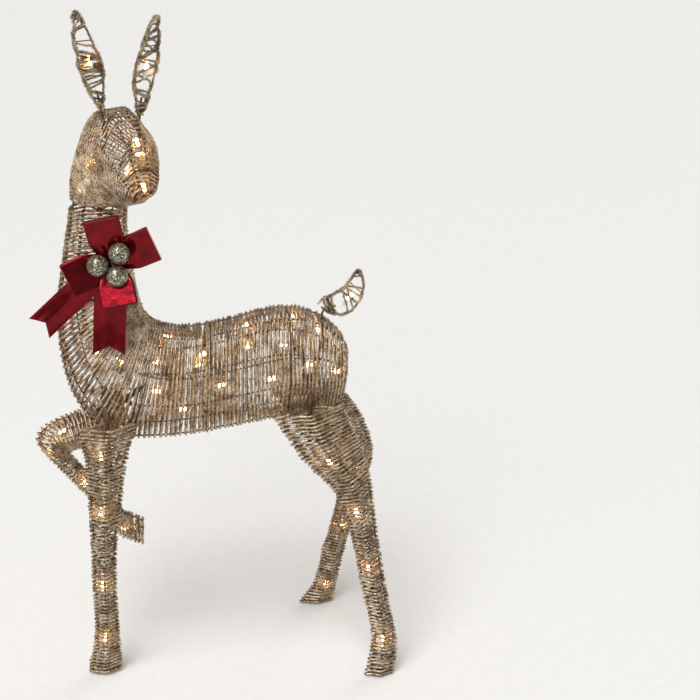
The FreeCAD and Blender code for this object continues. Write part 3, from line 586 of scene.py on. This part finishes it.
# A sheet of ribbon from a line (distance out from the knot, height off the back) carried across the ribbon's width.
# The width draws in near the knot, where it is gathered into folds.
def ribbonStrip(name, angle, reach, height, halfWidth, fold):
    across = np.linspace(-1, 1, 25)
    direction = np.array([math.cos(math.radians(angle)), math.sin(math.radians(angle))])
    half = halfWidth[:, None] * across
    rise = height[:, None] + fold[:, None] * np.cos(across * 3 * math.pi)
    out = np.broadcast_to(reach[:, None], half.shape)
    points = bowPoints(out * direction[0] - half * direction[1], out * direction[1] + half * direction[0], rise)
    piece = meshObject(name, points.reshape(-1, 3), [gridFaces(len(reach), len(across))], foil)
    wall = piece.modifiers.new("film", "SOLIDIFY")
    wall.thickness = bow["film"] / 1000
    wall.offset = 0
    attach(piece, "body")
    return piece


def smoothStep(value):
    value = np.clip(value, 0, 1)
    return value * value * (3 - 2 * value)


# Two loops in one strip: it leaves the knot low, rounds the fold at its reach and comes back high, on each side.
def loopStrip(name, angle, reach, low, node):
    turn = np.linspace(0, 2 * math.pi, 161)
    way = np.where(turn < math.pi, 1.0, -1.0)
    local = np.where(turn < math.pi, turn, 2 * math.pi - turn) / math.pi      # 0 at the knot's back, 1 at its front
    out = np.sin(local * math.pi) ** 0.62 * reach
    top = smoothStep((local - 0.38) / 0.24)
    crest = low + 2.0 + (bow["loopHeight"] - 2.0) * np.clip(np.sin(local * math.pi), 0, 1) ** 0.7
    height = low * (1 - top) + crest * top
    gather = 0.55 + 0.45 * smoothStep(out / 46)
    fold = 2.2 * (1 - smoothStep(out / 42)) * top
    piece = ribbonStrip(name, angle, way * out, height, bow["width"] / 2 * gather, fold)
    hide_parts(node)
    return piece


loopStrip("level_ribbon_loops", 22, 84, 4.6, "bow_level_loops")
loopStrip("upright_ribbon_loops", 99, 80, 8.6, "bow_upright_loops")


# A ribbon end: straight out from the knot, drawn in at the knot, with a swallow-tail cut and a gentle curl.
def endStrip(name, angle, length, width, low):
    share = np.linspace(0, 1, 61)
    across = np.linspace(-1, 1, 25)
    direction = np.array([math.cos(math.radians(angle)), math.sin(math.radians(angle))])
    half = (width / 2 * (0.5 + 0.5 * smoothStep(share * 2.4)))[:, None] * across
    reach = share[:, None] * (length - 16 * (1 - np.abs(across)))
    curl = 1.6 * np.sin(share[:, None] * 7) * smoothStep(share[:, None] * 3)
    rise = low + curl + 1.2 * np.cos(across * 4) * share[:, None]
    points = bowPoints(reach * direction[0] - half * direction[1], reach * direction[1] + half * direction[0], rise)
    piece = meshObject(name, points.reshape(-1, 3), [gridFaces(61, 25)], foil)
    wall = piece.modifiers.new("film", "SOLIDIFY")
    wall.thickness = bow["film"] / 1000
    wall.offset = 0
    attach(piece, "body")
    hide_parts("bow_tails")
    return piece


endStrip("left_ribbon_end", 221, 178, 50, 3.2)
endStrip("lower_ribbon_end", 265, 172, 58, 2.4)

# Balls: unit spheres worked out from latitude and longitude, closed at both poles.
def ballPiece():
    lat, lon = np.meshgrid(np.linspace(0, math.pi, 33)[1:-1], np.arange(48) * math.pi / 24, indexing="ij")
    unit = np.stack([np.sin(lat) * np.cos(lon), np.sin(lat) * np.sin(lon), np.cos(lat)], 2).reshape(-1, 3)
    row, column = np.meshgrid(np.arange(30), np.arange(48), indexing="ij")
    after = (column + 1) % 48
    below = row + 1
    quads = np.stack([row * 48 + column, below * 48 + column, below * 48 + after, row * 48 + after], 2).reshape(-1, 4)
    edge = np.arange(48)
    over = (edge + 1) % 48
    caps = np.concatenate([np.stack([np.full(48, 31 * 48), edge, over], 1),
                           np.stack([np.full(48, 31 * 48 + 1), 30 * 48 + over, 30 * 48 + edge], 1)])
    unit = np.concatenate([unit, [[0, 0, 1], [0, 0, -1]]])
    points, fours, threes = [], [], []
    for number, (across, up) in enumerate(((16, 17), (-23, -3), (10, -23))):
        centre = bowPoints(np.array(float(across)), np.array(float(up)), np.array(12.5 + 19.0))
        points.append(centre + unit * 19.0)
        fours.append(quads + number * len(unit))
        threes.append(caps + number * len(unit))
    piece = meshObject("glitter_balls", np.concatenate(points), [np.concatenate(fours), np.concatenate(threes)], glitter)
    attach(piece, "body")
    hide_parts("bow_balls")


ballPiece()
print("bow tied")

# ---- studio ----

studio = {"sky": "#FFFFFF", "skyStrength": 0.36}
# direction each light comes from, strength, how wide it looks in degrees, colour
softLights = {
    "overhead softbox": ((-0.28, -0.41, 1.0), 1.55, 35, "#FFFFFF"),
    "key softbox": ((-2.2, -2.6, 1.3), 0.6, 45, "#FFFFFF"),
    "rim softbox": ((2.4, 1.8, 1.2), 0.75, 45, "#FFF4E6"),
}


def floorMaterial():
    material, tree, shader = newMaterial("matt painted studio floor")
    place = addNode(tree, "ShaderNodeTexCoord").outputs["Object"]
    grain = addNode(tree, "ShaderNodeTexNoise", None, Vector=place, Scale=40.0, Detail=2.0)
    ramp = addNode(tree, "ShaderNodeValToRGB", None, Fac=grain.outputs["Fac"])
    setRamp(ramp, [(0.3, "#F3F2F0"), (0.7, "#F6F5F3")])
    tree.links.new(ramp.outputs["Color"], shader.inputs["Base Color"])
    shader.inputs["Roughness"].default_value = 0.9
    return material


floorMesh = bpy.data.meshes.new("studio_floor")
floorCorners = [(x, y, -0.0006) for x, y in ((-40, -40), (40, -40), (40, 40), (-40, 40))]
floorMesh.from_pydata(floorCorners, [], [(0, 1, 2, 3)])
floor = bpy.data.objects.new("studio_floor", floorMesh)
floorMesh.materials.append(floorMaterial())
scene.collection.objects.link(floor)

world = bpy.data.worlds.new("soft studio sky")
scene.world = world
world.use_nodes = True
sky = world.node_tree.nodes["Background"]
sky.inputs["Color"].default_value = colourOf(studio["sky"])
sky.inputs["Strength"].default_value = studio["skyStrength"]


# A light at infinity shines down its own -Z, so its tilt and turn follow from the direction it comes from.
def softLight(name, source, strength, wide, code):
    light = bpy.data.lights.new(name, "SUN")
    light.energy = strength
    light.angle = math.radians(wide)
    light.color = colourOf(code)[:3]
    lamp = bpy.data.objects.new(name, light)
    flat = math.hypot(source[0], source[1])
    lamp.rotation_euler = (math.atan2(flat, source[2]), 0, math.atan2(source[0], -source[1]))
    scene.collection.objects.link(lamp)


for name, values in softLights.items():
    softLight(name, *values)

# A narrow strip high in front draws thin bright lines along the ribbon's folds and glints on the foil.
strip = {"place": (-0.75, -2.3, 2.35), "target": (-0.17, 0.0, 0.85), "long": 1.4, "wide": 0.12, "power": 10.0}
glint = bpy.data.lights.new("strip light", "AREA")
glint.shape = "RECTANGLE"
glint.size = strip["long"]
glint.size_y = strip["wide"]
glint.energy = strip["power"]
glintLamp = bpy.data.objects.new("strip light", glint)
glintLamp.location = strip["place"]
toward = np.array(strip["target"]) - np.array(strip["place"])
glintLamp.rotation_euler = (math.atan2(math.hypot(toward[0], toward[1]), -toward[2]), 0,
                            math.atan2(-toward[0], toward[1]))
scene.collection.objects.link(glintLamp)

view = {"lens": 63.87, "place": (-0.04225, -2.2160, 1.525), "tilt": 68.69, "turn": -8.0}
camera = bpy.data.cameras.new("camera")
camera.lens = view["lens"]
camera.sensor_width = 36
camera.clip_end = 200
cameraObject = bpy.data.objects.new("camera", camera)
cameraObject.location = view["place"]
cameraObject.rotation_euler = (math.radians(view["tilt"]), 0, math.radians(view["turn"]))
scene.collection.objects.link(cameraObject)
scene.camera = cameraObject
scene.view_settings.view_transform = "Standard"
print("studio lit")
